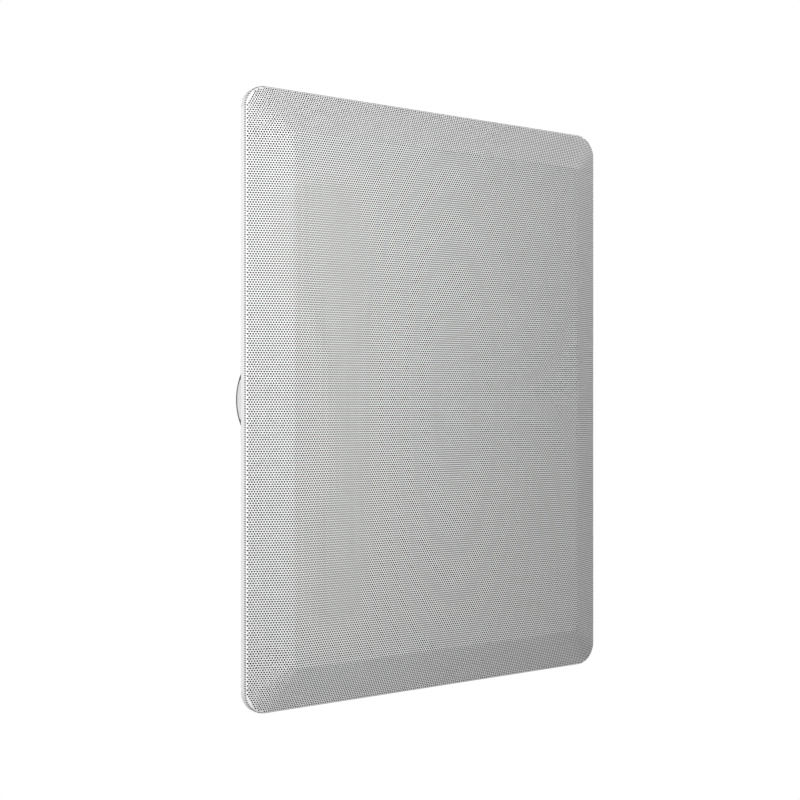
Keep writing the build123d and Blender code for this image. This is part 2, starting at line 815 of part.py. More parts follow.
can_r = 6.0
can_length = 27.0
can_inset = 14.0
can_lift = 7.0
can_x = board_x + board_width / 2 - can_inset
film_capacitor = lying(can_r, can_length, can_x, board_z + can_lift, True)
small_can_r = 4.5
small_can_length = 20.0
small_can_aside = 8.0
small_can_drop = 14.5
small_capacitor = lying(
    small_can_r, small_can_length, board_x - small_can_aside, board_z - small_can_drop, False
)
stone_length = 14.0
stone_width = 9.0
stone_height = 8.0
stone_chamfer = 1.0
stone_aside = 14.5
stone_drop = 16.5
stone = Pos(board_x + stone_aside, board_back + stone_height / 2, board_z - stone_drop) * Box(
    stone_length, stone_height, stone_width
)
resistor_block = chamfer(stone.edges().filter_by(Axis.Y), stone_chamfer)

# Terminal block with two push buttons, two wire holes and leaf springs
block_corner = 2.0
block_outline = Pos(block_x, block_z) * RectangleRounded(block_width, block_height, block_corner)
block_body = slab(block_outline, baffle_back, block_back)
ear_front = baffle_back + ear_post
ear_back = ear_front + ear_thickness
for x, z in block_holes:
    ear = rod(x, z, ear_r, ear_front, ear_back)
    ear += block(min(x, block_x), max(x, block_x), ear_front, ear_back, z - ear_r, z + ear_r)
    block_body += ear
    block_body -= rod(x, z, small_r + screw_gap, ear_front - 1, ear_back + 1)
button_inset = 3.5
button_travel = 3.0
button_out = 4.5
button_edge = 1.0
button_rest = 0.8
pocket_depth = 8.0
wire_hole_inset = 6.0
wire_hole_depth = 9.0
wire_hole_r = 2.0
button_gap = block_width / 4
button_z = block_z + block_height / 2 - button_height / 2 - button_inset
wire_hole_z = block_z - block_height / 2 + wire_hole_inset
pocket_y = block_back - pocket_depth
button_foot = pocket_y + button_travel + button_rest
leaf_half = 4.0
leaf_width = 4.0
leaf_nose = 1.0
leaf_strip = 0.3
buttons = {"red": block_x - button_gap, "black": block_x + button_gap}
screw_list = []
for x, z in block_holes:
    screw_list.append(back_screw(x, z, ear_back, *terminal_screw))
terminal_screws = Compound(children=screw_list)
button_shapes = {}
spring_shapes = {}
for name, x in buttons.items():
    half_w = button_width / 2
    half_h = button_height / 2
    pocket = block(
        x - half_w - pocket_gap, x + half_w + pocket_gap, pocket_y, block_back + 1,
        button_z - half_h - pocket_gap, button_z + half_h + pocket_gap,
    )
    block_body -= pocket
    block_body -= rod(x, wire_hole_z, wire_hole_r, block_back - wire_hole_depth, block_back + 1)
    button_back = block_back + button_out
    button = block(x - half_w, x + half_w, button_foot, button_back, button_z - half_h, button_z + half_h)
    back_edges = [e for e in button.edges() if abs(e.center().Y - button_back) < 1e-6]
    button_shapes[name] = fillet(back_edges, button_edge)
    low = pocket_y
    high = button_foot - seat_gap
    near_x = x - leaf_half
    far_x = x + leaf_half
    leaf = make_face(
        Polyline(
            (near_x, low), (far_x, low), (far_x, low + leaf_strip), (near_x + leaf_nose, low + leaf_strip),
            (far_x, high - leaf_strip), (far_x, high), (far_x - leaf_nose, high), (near_x, low + leaf_strip),
            close=True,
        )
    )
    spring_shapes[name] = Pos(0, 0, button_z - leaf_width / 2) * extrude(leaf, amount=leaf_width)

# Wiring that the frame holds between fixed ends
wire_r = wire_diameter / 2


def wire(points, bend):
    path = FilletPolyline(*points, radius=bend)
    start = path @ 0
    tangent = path % 0
    return sweep(Plane(origin=start, z_dir=tangent) * Circle(wire_r), path=path)


wire_apart = 0.7
wire_bend = 3.0
lead_out = 10.0
lead_drop = 8.0
rib_clear = 4.5
input_pad_aside = 9.0
input_pad_in = 6.0
woofer_pad_aside = 17.0
woofer_pad_in = 3.5
rise_height = 9.5
tag_clear = 13.0
edge_in = 3.0
edge_run = 8.0
spread = wire_diameter + wire_apart
wire_y = board_back + wire_r + seat_gap
rise_y = board_back + rise_height
start_x = block_x - block_width / 2
start_z = block_z - lead_drop
low_z = rib_z + rib_clear
board_low = board_z - board_height / 2
drop_z = tag_z + tag_clear
tweeter_tag_y = housing_end + tag_rise / 2
input_list = []
woofer_list = []
tweeter_list = []
for k, end_x in ((0, -tag_x), (1, tag_x)):
    shift = k * spread
    turn_x = start_x - lead_out + shift
    pad_x = board_x + input_pad_aside - shift
    input_list.append(
        wire(
            [
                (start_x, wire_y, start_z - shift), (turn_x, wire_y, start_z - shift),
                (turn_x, wire_y, low_z - shift), (pad_x, wire_y, low_z - shift),
                (pad_x, wire_y, board_low + input_pad_in),
            ],
            wire_bend,
        )
    )
    run_x = board_x + woofer_pad_aside - shift
    pad_z = board_low + woofer_pad_in
    woofer_list.append(
        wire(
            [
                (run_x, board_back + seat_gap, pad_z), (run_x, rise_y, pad_z),
                (run_x, rise_y, drop_z + shift), (run_x, tag_spot_y, drop_z + shift),
                (end_x, tag_spot_y, drop_z + shift), (end_x, tag_spot_y, tag_z + tag_rise + seat_gap),
            ],
            wire_bend,
        )
    )
wires_input = Compound(children=input_list)
wires_woofer = Compound(children=woofer_list)
tweeter_bend = 2.0
tweeter_wire_gap = 5.0
turn_x = -housing_r - tweeter_wire_gap
edge_x = min(board_x + board_width / 2 - edge_in, turn_x - edge_run)
second_z = tweeter_z - small_tag_half - tweeter_wire_gap
tweeter_list.append(
    wire(
        [
            (edge_x, wire_y, tweeter_z), (turn_x, wire_y, tweeter_z), (turn_x, tweeter_tag_y, tweeter_z),
            (-small_tag_x - blade_half - seat_gap, tweeter_tag_y, tweeter_z),
        ],
        tweeter_bend,
    )
)
tweeter_list.append(
    wire(
        [
            (edge_x, wire_y, second_z), (turn_x, wire_y, second_z), (turn_x, tweeter_tag_y, second_z),
            (small_tag_x, tweeter_tag_y, second_z),
            (small_tag_x, tweeter_tag_y, tweeter_z - small_tag_half - seat_gap),
        ],
        tweeter_bend,
    )
)
wires_tweeter = Compound(children=tweeter_list)

# Clamps: screw, folded leg, threaded sleeve and rubber pad, alike on four sides
head_lap = 2.2
head_height = 2.8
drive_reach = 2.6
drive_half = 0.5
drive_depth = 1.5
tip_short = 0.6
sleeve_wall = 2.0
head_back = boss_front - seat_gap
head_front = head_back - head_height
drive_back = head_front + drive_depth
clamp_screw = rod(0, 0, screw_r + head_lap, head_front, head_back)
clamp_screw += rod(0, 0, screw_r, head_back, plate_end - tip_short)
clamp_screw -= block(-drive_reach, drive_reach, head_front - 1, drive_back, -drive_half, drive_half)
clamp_screw -= block(-drive_half, drive_half, head_front - 1, drive_back, -drive_reach, drive_reach)
sleeve_r = screw_r + sleeve_wall
half_leg = leg_width / 2
arm_back = leg_front + arm_thickness
arm_end = leg_reach - half_leg


def leg_hub():
    """A round hub with a broad, slightly bowed cheek on its outer side."""
    outline = make_face(
        ThreePointArc((-cheek_edge, -cheek_half), (-hub_r, 0), (-cheek_edge, cheek_half))
        + Line((-cheek_edge, cheek_half), (0, cheek_half))
        + ThreePointArc((0, cheek_half), (cheek_half, 0), (0, -cheek_half))
        + Line((0, -cheek_half), (-cheek_edge, -cheek_half))
    )
    corners = [v for v in outline.vertices() if v.X < -cheek_edge / 2]
    return slab(fillet(corners, cheek_corner), leg_front, leg_back)


fin_half = 1.4
fin_step = 2.0
fin_share = 0.7
leg = leg_hub()
leg += block(-half_leg, half_leg, leg_front, arm_back, 0, arm_end)
leg += rod(0, arm_end, half_leg, leg_front, arm_back)
leg += block(-fin_half, fin_half, arm_back, leg_back - fin_step, hub_r - fin_step, leg_reach * fin_share)
leg -= rod(0, 0, sleeve_r, leg_front - 1, leg_back + 1)
leg_sleeve = rod(0, 0, sleeve_r, leg_front, leg_back)
leg_sleeve -= rod(0, 0, screw_r + thread_gap, leg_front - 1, leg_back + 1)
pad_edge = 1.0
pad_corner = 3.0
pad_low = hub_r + pad_edge
pad_high = leg_reach - pad_edge
pad_middle = (pad_low + pad_high) / 2
pad_outline = RectangleRounded(leg_width - pad_edge, pad_high - pad_low, pad_corner)
leg_pad = slab(Pos(0, pad_middle) * pad_outline, leg_front - pad_thickness, leg_front)

pieces = {
    "grille": grille,
    "grille_scrim": grille_scrim,
    "frame": frame,
    "grille_magnets": grille_magnets,
    "woofer_basket": basket,
    "woofer_gasket": woofer_gasket,
    "woofer_surround": surround,
    "woofer_cone": cone,
    "woofer_dust_cap": dust_cap,
    "woofer_former": voice_coil_former,
    "woofer_coil": voice_coil,
    "woofer_spider": spider,
    "woofer_top_plate": top_plate,
    "woofer_magnet": ferrite,
    "woofer_yoke": yoke,
    "woofer_tag_strip": tag_strip,
    "woofer_tags": woofer_tags,
    "woofer_screws": woofer_screws,
    "tweeter_faceplate": faceplate,
    "tweeter_dome": dome,
    "tweeter_coil": tweeter_coil,
    "tweeter_pole_plate": tweeter_pole_plate,
    "tweeter_magnet": tweeter_magnet,
    "tweeter_pot": tweeter_pot,
    "tweeter_housing": tweeter_housing,
    "tweeter_tags": tweeter_tags,
    "tweeter_screws": tweeter_screws,
    "crossover_board": crossover_board,
    "board_screws": board_screws,
    "inductor_bobbin": inductor_bobbin,
    "inductor_winding": inductor_winding,
    "film_capacitor": film_capacitor,
    "small_capacitor": small_capacitor,
    "resistor_block": resistor_block,
    "terminal_block": block_body,
    "terminal_screws": terminal_screws,
    "wires_input": wires_input,
    "wires_woofer": wires_woofer,
    "wires_tweeter": wires_tweeter,
}
for name in buttons:
    pieces["terminal_button_" + name] = button_shapes[name]
    pieces["terminal_spring_" + name] = spring_shapes[name]
for side in sides:
    pieces["clamp_screw_" + side] = at_side(side, clamp_screw)
    pieces["clamp_leg_" + side] = at_side(side, leg)
    pieces["clamp_sleeve_" + side] = at_side(side, leg_sleeve)
    pieces["clamp_pad_" + side] = at_side(side, leg_pad)

for name, shape in pieces.items():
    export_step(shape, "parts/" + name + ".step")
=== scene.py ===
import bmesh
import bpy
import json
from math import cos, hypot, pi, radians, sin, sqrt
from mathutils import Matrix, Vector


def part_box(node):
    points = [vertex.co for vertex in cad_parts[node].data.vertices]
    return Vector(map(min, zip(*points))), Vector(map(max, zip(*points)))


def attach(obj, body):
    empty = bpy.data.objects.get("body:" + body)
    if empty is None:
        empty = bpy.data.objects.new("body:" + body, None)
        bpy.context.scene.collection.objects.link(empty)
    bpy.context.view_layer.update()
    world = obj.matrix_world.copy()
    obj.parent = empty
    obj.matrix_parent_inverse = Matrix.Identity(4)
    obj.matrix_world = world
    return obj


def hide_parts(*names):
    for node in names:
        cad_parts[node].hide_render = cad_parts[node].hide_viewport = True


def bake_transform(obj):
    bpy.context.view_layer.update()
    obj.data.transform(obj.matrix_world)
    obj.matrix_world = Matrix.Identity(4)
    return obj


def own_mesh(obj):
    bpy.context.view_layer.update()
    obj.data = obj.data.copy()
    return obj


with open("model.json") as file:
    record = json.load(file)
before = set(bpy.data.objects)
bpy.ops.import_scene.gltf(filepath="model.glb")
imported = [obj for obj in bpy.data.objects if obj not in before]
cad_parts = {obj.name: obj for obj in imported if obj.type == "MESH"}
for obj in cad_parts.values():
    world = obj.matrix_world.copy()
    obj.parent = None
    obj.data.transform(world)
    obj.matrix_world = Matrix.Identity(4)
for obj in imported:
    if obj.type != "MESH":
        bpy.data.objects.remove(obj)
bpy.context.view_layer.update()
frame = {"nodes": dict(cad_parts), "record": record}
nodes = frame["nodes"]
record = frame["record"]
MM = 0.001

# Formed sheet of the grille, as in the solids
PANEL_CORNER = 11 * MM
BEVEL_RUN = 21 * MM
BEVEL_RISE = 9.2 * MM
BEVEL_STRETCH = sqrt(1 + (BEVEL_RISE / BEVEL_RUN) ** 2) - 1
BEND_DEPTH = 5.4 * MM

# Perforation, measured along the sheet
HOLE_PITCH = 1.261 * MM
ROW_PITCH = 1.092 * MM
HOLE_RADIUS = 0.42 * MM
HOLE_SOFT = 0.1 * MM
FIELD_MARGIN = 0.9 * MM
FIELD_CORNER = 12.5 * MM
BAND_NEAR = 0.05 * MM
BAND_FAR = 0.55 * MM
BAND_SOFT = 0.1 * MM

# Paint of the grille, and the cloth seen in its holes
PAINT_DARK = 0.88
PAINT_LIGHT = 0.91
PAINT_ROUGHNESS = 0.58
HOLE_GREY = 0.012
HOLE_ROUGHNESS = 0.9

# Woofer suspension
SPIDER_WALL = 0.5 * MM
SPIDER_WAVES = 4
SPIDER_FLAT_IN = 2.5 * MM
SPIDER_FLAT_OUT = 6.1 * MM
SPIDER_STEPS = 64
SPIDER_SIDES = 96

# Clamp screws
SCREW_RADIUS = 2 * MM
HEAD_HEIGHT = 2.8 * MM
HEAD_OVERLAP = 0.5 * MM
SHANK_MARGIN = 0.1 * MM
SHARP_ANGLE = 40
MERGE_DISTANCE = 0.001 * MM
THREAD_PITCH = 1.4 * MM
THREAD_DEPTH = 0.3 * MM
THREAD_STEPS = 6
THREAD_SIDES = 20
TIP_LENGTH = 3 * MM
TIP_SHARE = 0.55

# Inductor winding
COIL_INNER = 6 * MM
COIL_TURNS = 14
COIL_STEPS = 8
COIL_SIDES = 72

# Copper runs of the board: middle and half size in millimetres, from the board's middle
BOARD_RUNS = (
    (-10, 24, 14, 1.2), (15, 23, 1.2, 4), (3, 24, 12, 1.2), (-23, 0, 1.2, 24),
    (-12, -23, 11, 1.2), (-6, -6.5, 16, 1.0), (15, -7.5, 8, 1.2), (22.5, -6, 1.2, 12),
    (9, -24, 1.2, 4), (17, -25, 1.2, 3),
)
RUN_SOFT = 0.15

# Component legs, and the ends of the inductor's wire
LEAD_RADIUS = 0.4 * MM
LEAD_INSIDE = 0.6 * MM
LEAD_REACH = 2.2 * MM
LEAD_SINK = 0.5 * MM
COIL_END_SPREAD = 6 * MM
COIL_END_INSIDE = 1.5 * MM
COIL_END_BEND = 1.2 * MM
COIL_END_REACH = 2.6 * MM

# Feet of the wire pairs in millimetres, from the middle of the board's lower edge
WIRE_FEET = ((9, 6.4), (17, 3.5))
WIRE_SPACING = 2.5

# Radius and height along a solder joint in millimetres
SOLDER_PROFILE = ((1.15, -0.05), (1.1, 0.12), (0.85, 0.35), (0.62, 0.75), (0.5, 1.0))
SOLDER_SIDES = 16

# Studio
FLOOR_Z = -0.45
FLOOR_HALF = 6.0
FLOOR_GREY = 0.5
GLOW_NEAR = 0.5
GLOW_FAR = 0.85
GLOW_LEAST = 0.55
AMBIENT = 0.05
CAMERA_PLACE = (-0.37734, -0.52841, -0.00013)
CAMERA_TURN = -34.132
CAMERA_LENS = 56.745
SENSOR_WIDTH = 36
CLIP_START = 0.01


class Finish:
    """One node material, with short calls for the nodes that the finishes share."""

    def __init__(self, name, **sockets):
        self.material = bpy.data.materials.new(name)
        self.material.use_nodes = True
        self.tree = self.material.node_tree
        self.surface = self.tree.nodes["Principled BSDF"]
        for socket, value in sockets.items():
            self.set(socket.replace("_", " "), value)

    def set(self, socket, value):
        """Gives the shader a plain value or another node's output."""
        self.feed(self.surface.inputs[socket], value)

    def feed(self, socket, value):
        if isinstance(value, bpy.types.NodeSocket):
            self.tree.links.new(value, socket)
        else:
            socket.default_value = value

    def add(self, kind, inputs=None, **settings):
        node = self.tree.nodes.new(kind)
        for key, value in settings.items():
            setattr(node, key, value)
        for key, value in (inputs or {}).items():
            self.feed(node.inputs[key], value)
        return node

    def math(self, operation, *values):
        node = self.add("ShaderNodeMath", operation=operation)
        for socket, value in zip(node.inputs, values):
            self.feed(socket, value)
        return node.outputs[0]

    def place(self):
        return self.add("ShaderNodeTexCoord").outputs["Object"]

    def axes(self):
        split = self.add("ShaderNodeSeparateXYZ", {"Vector": self.place()})
        return split.outputs["X"], split.outputs["Y"], split.outputs["Z"]

    def noise(self, size, detail=2.0):
        """Noise whose grains are about a size in metres."""
        inputs = {"Vector": self.place(), "Scale": 1 / size, "Detail": detail}
        return self.add("ShaderNodeTexNoise", inputs).outputs["Fac"]

    def cells(self, size):
        """Distance to the middle of the nearest cell, about nought to one."""
        inputs = {"Vector": self.place(), "Scale": 1 / size}
        return self.add("ShaderNodeTexVoronoi", inputs).outputs["Distance"]

    def waves(self, value, pitch):
        """A smooth wave from nought to one along a length in metres."""
        swing = self.math("SINE", self.math("MULTIPLY", value, 2 * pi / pitch))
        return self.math("MULTIPLY_ADD", swing, 0.5, 0.5)

    def around(self, centre):
        """Distance from an axis along Y."""
        x, _, z = self.axes()
        off_x = self.math("POWER", self.math("SUBTRACT", x, centre.x), 2.0)
        off_z = self.math("POWER", self.math("SUBTRACT", z, centre.z), 2.0)
        return self.math("SQRT", self.math("ADD", off_x, off_z))

    def between(self, value, low, high, to_low, to_high):
        """A smooth step that takes one range of a value to another."""
        inputs = {
            "Value": value, "From Min": low, "From Max": high, "To Min": to_low, "To Max": to_high,
        }
        node = self.add("ShaderNodeMapRange", inputs, interpolation_type="SMOOTHSTEP")
        return node.outputs["Result"]

    def blend(self, share, first, second):
        node = self.add("ShaderNodeMix", data_type="RGBA")
        self.feed(node.inputs["Factor"], share)
        self.feed(node.inputs[6], first)
        self.feed(node.inputs[7], second)
        return node.outputs[2]

    def bump(self, height, depth):
        inputs = {"Height": height, "Distance": depth, "Strength": 1.0}
        self.set("Normal", self.add("ShaderNodeBump", inputs).outputs["Normal"])


def grey(level):
    return (level, level, level, 1.0)


def shade(colour, factor):
    return tuple(min(1.0, c * factor) for c in colour[:3]) + (1.0,)


def middle(node):
    low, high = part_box(node)
    return (low + high) / 2


# Grille paint
def unrolled(finish, across, kink):
    """Place along the sheet, which is longer on the sloping bevels."""
    past = finish.math("SUBTRACT", finish.math("ABSOLUTE", across), kink)
    extra = finish.math("MULTIPLY", finish.math("MAXIMUM", past, 0.0), BEVEL_STRETCH)
    return finish.math("MULTIPLY_ADD", finish.math("SIGN", across), extra, across)


def unrolled_half(half):
    return half - BEVEL_RUN + sqrt(BEVEL_RUN ** 2 + BEVEL_RISE ** 2)


def inside_edge(finish, x, z, half_x, half_z, corner):
    """Distance in from a rectangle with round corners, near its edge."""
    past_x = finish.math("SUBTRACT", finish.math("ABSOLUTE", x), half_x - corner)
    past_z = finish.math("SUBTRACT", finish.math("ABSOLUTE", z), half_z - corner)
    out_x = finish.math("POWER", finish.math("MAXIMUM", past_x, 0.0), 2.0)
    out_z = finish.math("POWER", finish.math("MAXIMUM", past_z, 0.0), 2.0)
    out = finish.math("SQRT", finish.math("ADD", out_x, out_z))
    return finish.math("SUBTRACT", corner, out)


def perforated_paint():
    """White satin coat on a sheet with staggered round holes over black cloth."""
    finish = Finish("white_paint", Specular_IOR_Level=0.15)
    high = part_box("grille")[1]
    x, _, z = finish.axes()
    along_x = unrolled(finish, x, high.x - BEVEL_RUN)
    along_z = unrolled(finish, z, high.z - BEVEL_RUN)
    row = finish.math("ROUND", finish.math("DIVIDE", along_z, ROW_PITCH))
    shift = finish.math("MULTIPLY", finish.math("FLOORED_MODULO", row, 2.0), 0.5)
    count = finish.math("SUBTRACT", finish.math("DIVIDE", along_x, HOLE_PITCH), shift)
    column = finish.math("ADD", finish.math("ROUND", count), shift)
    centre_x = finish.math("MULTIPLY", column, HOLE_PITCH)
    centre_z = finish.math("MULTIPLY", row, ROW_PITCH)
    away_x = finish.math("POWER", finish.math("SUBTRACT", along_x, centre_x), 2.0)
    away_z = finish.math("POWER", finish.math("SUBTRACT", along_z, centre_z), 2.0)
    away = finish.math("SQRT", finish.math("ADD", away_x, away_z))
    hole = finish.between(away, HOLE_RADIUS - HOLE_SOFT, HOLE_RADIUS + HOLE_SOFT, 1.0, 0.0)
    field_x = unrolled_half(high.x) - FIELD_MARGIN
    field_z = unrolled_half(high.z) - FIELD_MARGIN
    inside = inside_edge(finish, centre_x, centre_z, field_x, field_z, FIELD_CORNER)
    hole = finish.math("MULTIPLY", hole, finish.math("GREATER_THAN", inside, 0.0))
    dark = finish.math("MAXIMUM", hole, bend_dark_band(finish, x, z, high))
    mottle = finish.noise(6 * MM, 3.0)
    paint = finish.blend(mottle, grey(PAINT_DARK), grey(PAINT_LIGHT))
    finish.set("Base Color", finish.blend(dark, paint, grey(HOLE_GREY)))
    finish.set("Roughness", finish.between(dark, 0.0, 1.0, PAINT_ROUGHNESS, HOLE_ROUGHNESS))
    finish.bump(finish.noise(0.9 * MM, 1.0), 0.01 * MM)
    return finish.material


def bend_dark_band(finish, x, z, high):
    """A broken dark band painted a little way in from the edge, all round the bend."""
    edge = inside_edge(finish, x, z, high.x, high.z, PANEL_CORNER)
    near = finish.between(edge, BAND_NEAR - BAND_SOFT, BAND_NEAR + BAND_SOFT, 0.0, 1.0)
    far = finish.between(edge, BAND_FAR - BAND_SOFT, BAND_FAR + BAND_SOFT, 1.0, 0.0)
    band = finish.math("MULTIPLY", near, far)
    broken = finish.between(finish.waves(z, ROW_PITCH), 0.2, 0.8, 0.25, 0.85)
    return finish.math("MULTIPLY", band, broken)


# Finishes that several slots share
def moulded(name, colour, roughness, grain=0.5 * MM, depth=0.04 * MM):
    """Plastic from a spark-eroded mould, a little uneven in tone."""
    finish = Finish(name, Specular_IOR_Level=0.4)
    sparks = finish.noise(grain, 2.0)
    tone = finish.noise(15 * MM, 3.0)
    finish.set("Base Color", finish.blend(tone, shade(colour, 0.88), shade(colour, 1.12)))
    finish.set("Roughness", finish.between(sparks, 0.3, 0.7, roughness - 0.07, roughness + 0.07))
    finish.bump(sparks, depth)
    return finish.material


def glossy(name, colour, roughness=0.22):
    """Smooth moulded or sleeved plastic with faint flow marks."""
    finish = Finish(name, Specular_IOR_Level=0.5)
    flow = finish.noise(9 * MM, 4.0)
    finish.set("Base Color", finish.blend(flow, shade(colour, 0.85), shade(colour, 1.1)))
    finish.set("Roughness", finish.between(flow, 0.35, 0.65, roughness, roughness + 0.14))
    finish.bump(finish.noise(2.5 * MM, 1.0), 0.02 * MM)
    return finish.material


def metal(name, colour, roughness):
    """Plated metal with clouds and fine rubbed scratches."""
    finish = Finish(name, Metallic=1.0)
    cloud = finish.noise(8 * MM, 4.0)
    inputs = {"Vector": finish.place(), "Scale": (1.0, 0.06, 1.0)}
    stretched = finish.add("ShaderNodeMapping", inputs)
    inputs = {"Vector": stretched.outputs["Vector"], "Scale": 4000.0, "Detail": 2.0}
    rubbed = finish.add("ShaderNodeTexNoise", inputs).outputs["Fac"]
    finish.set("Base Color", finish.blend(cloud, shade(colour, 0.82), colour))
    wear = finish.math("MULTIPLY_ADD", rubbed, 0.5, finish.math("MULTIPLY", cloud, 0.5))
    finish.set("Roughness", finish.between(wear, 0.3, 0.7, roughness - 0.1, roughness + 0.12))
    finish.bump(rubbed, 0.003 * MM)
    return finish.material


def turned_metal(name, colour, roughness, centre):
    """Zinc plate over lathe marks that run round an axis."""
    finish = Finish(name, Metallic=1.0)
    marks = finish.waves(finish.around(centre), 0.35 * MM)
    cloud = finish.noise(14 * MM, 4.0)
    finish.set("Base Color", finish.blend(cloud, shade(colour, 0.86), colour))
    finish.set("Roughness", finish.between(cloud, 0.3, 0.7, roughness - 0.04, roughness + 0.06))
    finish.bump(marks, 0.02 * MM)
    return finish.material


def woven(name, dark, light, pitch, roughness=0.85):
    """Plain weave of threads that cross in X and Z, with painted shade where the weave lies low."""
    finish = Finish(name, Specular_IOR_Level=0.2, Sheen_Weight=0.15)
    x, _, z = finish.axes()
    warp = finish.waves(x, pitch)
    weft = finish.waves(z, pitch)
    over = finish.math("MAXIMUM", warp, weft)
    fluff = finish.noise(0.4 * pitch, 2.0)
    height = finish.math("MULTIPLY_ADD", fluff, 0.3, over)
    # The colour follows the weave's height: painted shade in the low gaps between threads, with
    # random fluff in the tone.
    finish.set("Base Color", finish.blend(finish.between(height, 0.5, 1.2, 0.0, 1.0), dark, light))
    finish.set("Roughness", finish.between(fluff, 0.2, 0.8, roughness - 0.08, roughness + 0.08))
    finish.bump(height, 0.15 * pitch)
    return finish.material


def rubber(name, level, roughness, pore):
    """Rubber or closed foam with pores of a size in metres."""
    finish = Finish(name, Specular_IOR_Level=0.3)
    pores = finish.cells(pore)
    dust = finish.noise(5 * MM, 4.0)
    finish.set("Base Color", finish.blend(dust, grey(level * 0.8), grey(level * 1.5)))
    finish.set("Roughness", finish.between(dust, 0.3, 0.7, roughness - 0.08, roughness + 0.08))
    finish.bump(pores, 0.2 * pore)
    return finish.material


def speckled(name, colour, size, roughness, contrast):
    """Sintered or cast stone with grains, and pits darkened with painted shade."""
    finish = Finish(name, Specular_IOR_Level=0.35)
    grains = finish.cells(size)
    cloud = finish.noise(10 * MM, 4.0)
    mixed = finish.math("MULTIPLY_ADD", grains, 0.6, finish.math("MULTIPLY", cloud, 0.5))
    colours = shade(colour, 1 - contrast), shade(colour, 1 + contrast)
    # Painted shade: the colour darkens towards each grain's pit, mixed with random cloudy tone.
    finish.set("Base Color", finish.blend(finish.between(mixed, 0.25, 0.75, 0.0, 1.0), *colours))
    finish.set("Roughness", finish.between(cloud, 0.3, 0.7, roughness - 0.1, roughness + 0.1))
    finish.bump(grains, 0.15 * size)
    return finish.material


def paper_cone(name, level):
    """Pressed fibre sheet with faint rings from its mould."""
    finish = Finish(name, Specular_IOR_Level=0.3)
    fibres = finish.noise(0.8 * MM, 6.0)
    rings = finish.waves(finish.around(middle("woofer_yoke")), 4 * MM)
    height = finish.math("MULTIPLY_ADD", rings, 0.4, fibres)
    finish.set("Base Color", finish.blend(fibres, grey(level * 0.7), grey(level * 1.4)))
    finish.set("Roughness", finish.between(fibres, 0.3, 0.7, 0.5, 0.68))
    finish.bump(height, 0.06 * MM)
    return finish.material


def solder_mask(name, colour):
    """Green board with paler copper runs under the mask."""
    finish = Finish(name, Specular_IOR_Level=0.5)
    centre = middle("crossover_board")
    x, _, z = finish.axes()
    runs = 0.0
    for off_x, off_z, half_x, half_z in BOARD_RUNS:
        away_x = finish.math("ABSOLUTE", finish.math("SUBTRACT", x, centre.x + off_x * MM))
        away_z = finish.math("ABSOLUTE", finish.math("SUBTRACT", z, centre.z + off_z * MM))
        in_x = finish.between(away_x, half_x * MM, (half_x + RUN_SOFT) * MM, 1.0, 0.0)
        in_z = finish.between(away_z, half_z * MM, (half_z + RUN_SOFT) * MM, 1.0, 0.0)
        runs = finish.math("MAXIMUM", runs, finish.math("MULTIPLY", in_x, in_z))
    weave = finish.math("MULTIPLY", finish.waves(x, 0.8 * MM), finish.waves(z, 0.8 * MM))
    bare = finish.blend(weave, shade(colour, 0.8), colour)
    finish.set("Base Color", finish.blend(runs, bare, shade(colour, 1.9)))
    finish.set("Roughness", finish.between(finish.noise(4 * MM), 0.3, 0.7, 0.25, 0.4))
    finish.bump(runs, 0.05 * MM)
    return finish.material


def make_finishes():
    """A finish for each material slot of the record."""
    colours = {slot["slot"]: tuple(slot["base_color"][:3]) + (1.0,) for slot in record["materials"]}
    made = {
        "white_paint": perforated_paint(),
        "scrim_cloth": woven("scrim_cloth", grey(0.012), grey(0.045), 0.6 * MM),
        "black_moulding": moulded("black_moulding", colours["black_moulding"], 0.5),
        "basket_coat": moulded("basket_coat", colours["basket_coat"], 0.38, 1.2 * MM, 0.02 * MM),
        "foam_seal": rubber("foam_seal", 0.022, 0.85, 0.5 * MM),
        "roll_rubber": rubber("roll_rubber", 0.026, 0.5, 0.25 * MM),
        "cone_sheet": paper_cone("cone_sheet", 0.05),
        "cap_sheet": moulded("cap_sheet", colours["cap_sheet"], 0.35, 0.7 * MM, 0.02 * MM),
        "spider_cloth": woven(
            "spider_cloth", (0.42, 0.26, 0.08, 1), (0.68, 0.47, 0.19, 1), 0.7 * MM,
        ),
        "dome_cloth": woven("dome_cloth", grey(0.02), grey(0.075), 0.35 * MM, 0.6),
        "zinc_steel": metal("zinc_steel", colours["zinc_steel"], 0.36),
        "ferrite": speckled("ferrite", colours["ferrite"], 0.35 * MM, 0.55, 0.35),
        "ceramic": speckled("ceramic", colours["ceramic"], 0.6 * MM, 0.8, 0.12),
        "fibre_board": speckled("fibre_board", colours["fibre_board"], 0.5 * MM, 0.6, 0.2),
        "board_green": solder_mask("board_green", colours["board_green"]),
        "bobbin_plastic": moulded("bobbin_plastic", colours["bobbin_plastic"], 0.42),
        "white_nylon": moulded("white_nylon", colours["white_nylon"], 0.45),
        "wire_cover": glossy("wire_cover", grey(0.03), 0.35),
    }
    for name, roughness in (
        ("film_wrap", 0.2), ("can_sleeve", 0.2), ("red_cap", 0.24), ("black_cap", 0.24),
    ):
        made[name] = glossy(name, colours[name], roughness)
    for name, roughness in (
        ("neodymium", 0.2), ("foil", 0.3), ("copper", 0.3), ("tinned_brass", 0.32),
        ("black_screw", 0.42), ("spring_steel", 0.25),
    ):
        made[name] = metal(name, colours[name], roughness)
    return made


finishes = make_finishes()
slot_of = {part["node"]: part["material_slot"] for part in record["subparts"]}
for node_name, node_slot in slot_of.items():
    for place in nodes[node_name].material_slots:
        place.material = finishes[node_slot]

motor_marks = turned_metal("motor_zinc", grey(0.55), 0.34, middle("woofer_yoke"))
for node_name in ("woofer_yoke", "woofer_top_plate"):
    for place in nodes[node_name].material_slots:
        place.material = motor_marks
solder = metal("solder", grey(0.68), 0.28)


